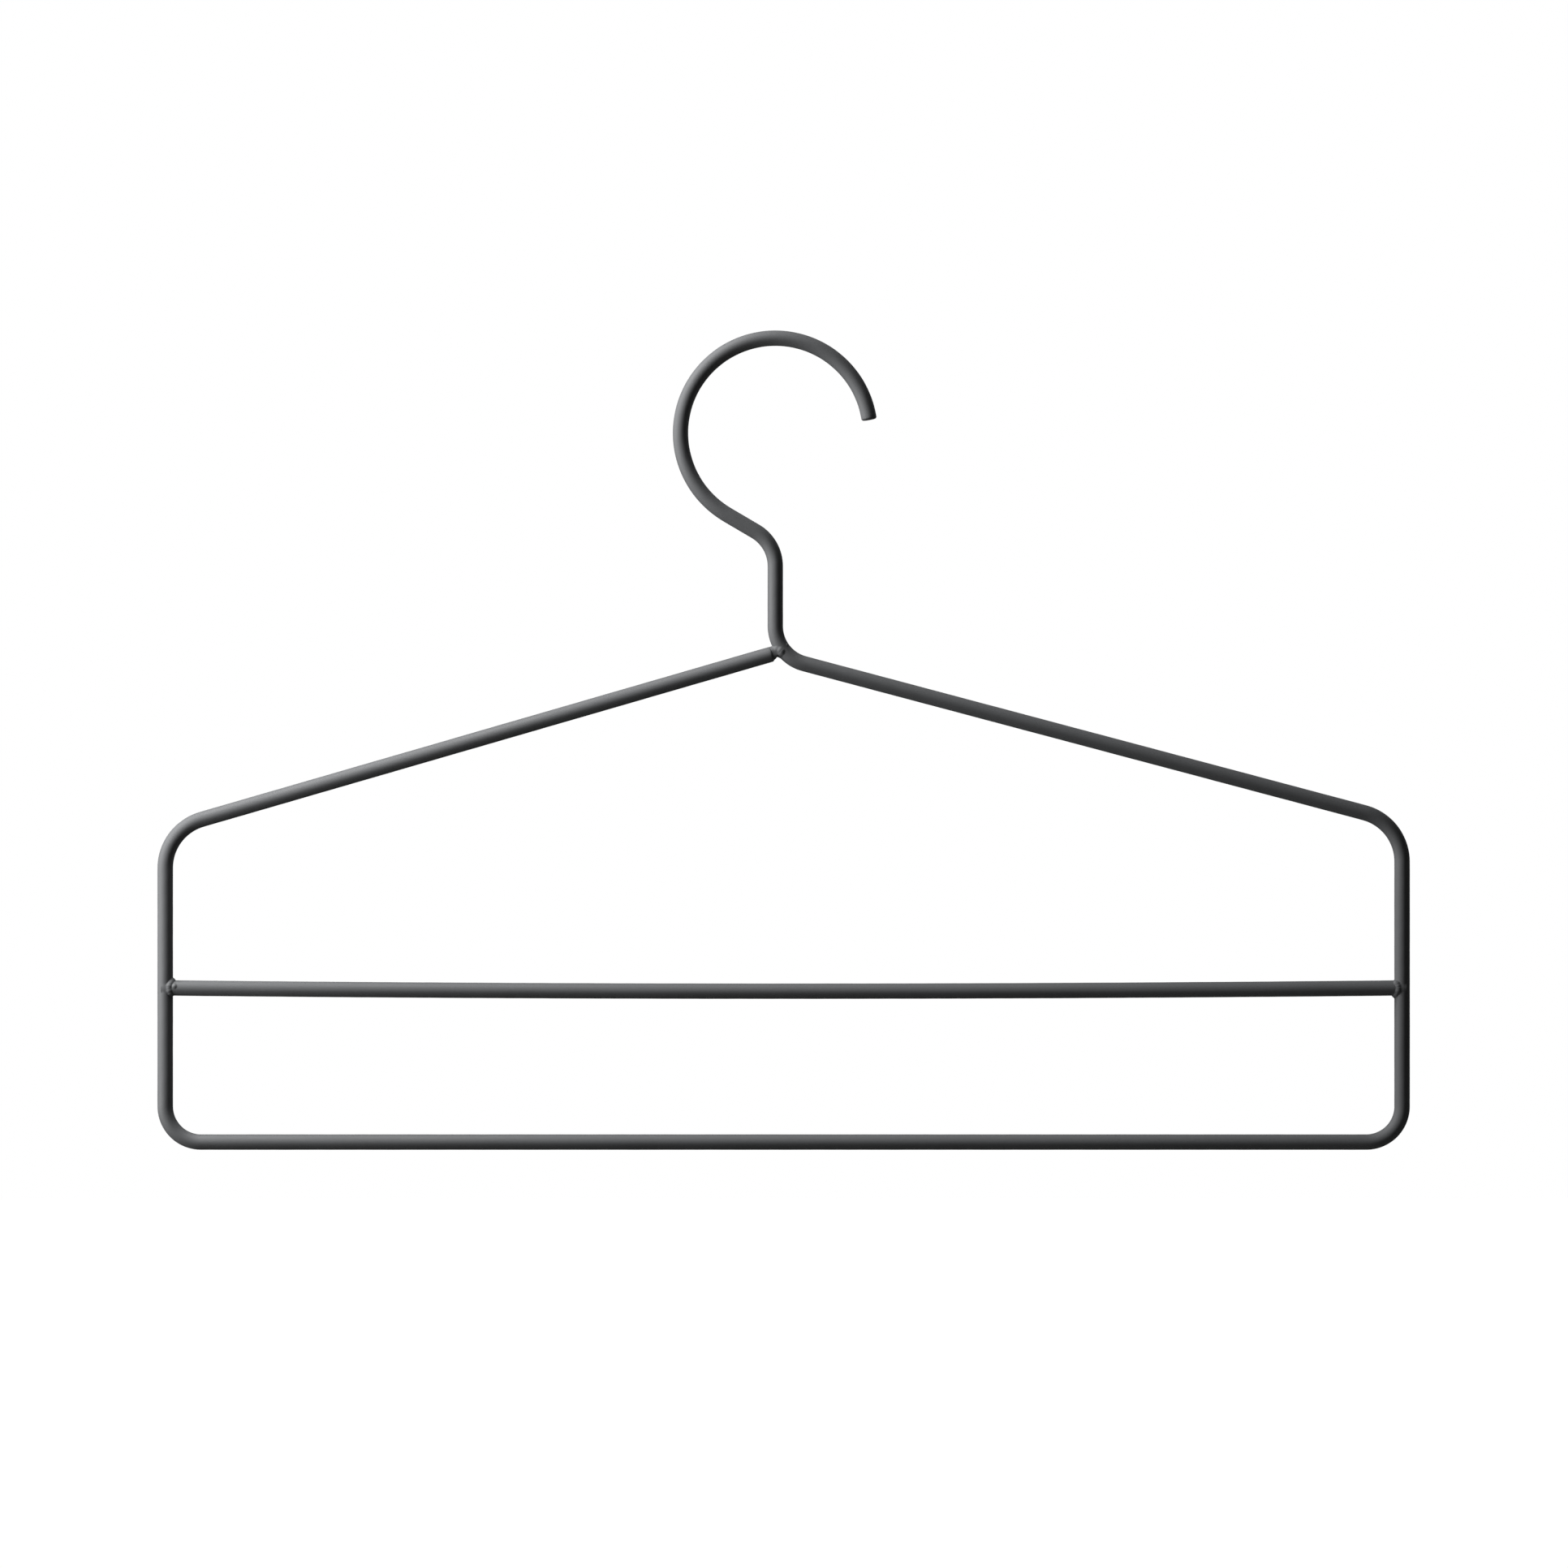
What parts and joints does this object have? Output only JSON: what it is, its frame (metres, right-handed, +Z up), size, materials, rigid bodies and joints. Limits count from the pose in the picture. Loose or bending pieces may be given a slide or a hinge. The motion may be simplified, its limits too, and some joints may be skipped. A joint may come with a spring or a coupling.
{
  "type": "trouser hanger",
  "caption": "Flat hanger of bent round steel wire with an open hook, sloping shoulders, a bottom wire and a welded trouser bar, powder coated all over.",
  "frame": {"origin": "the hook seat: the highest point on the inside of the hook, in the middle of the wire, where it rests on a rail", "axes": "+X to the right across the hanger, +Y away from the viewer through the wire, +Z up"},
  "size_m": [0.42, 0.006, 0.2748],
  "materials": {
    "powder_coated_steel": "satin anthracite powder coat on steel wire"
  },
  "bodies": {
    "root": {"frame_wire": "powder_coated_steel", "trouser_bar": "powder_coated_steel", "neck_weld": "powder_coated_steel", "left_bar_weld": "powder_coated_steel", "right_bar_weld": "powder_coated_steel"}
  },
  "joints": []
}
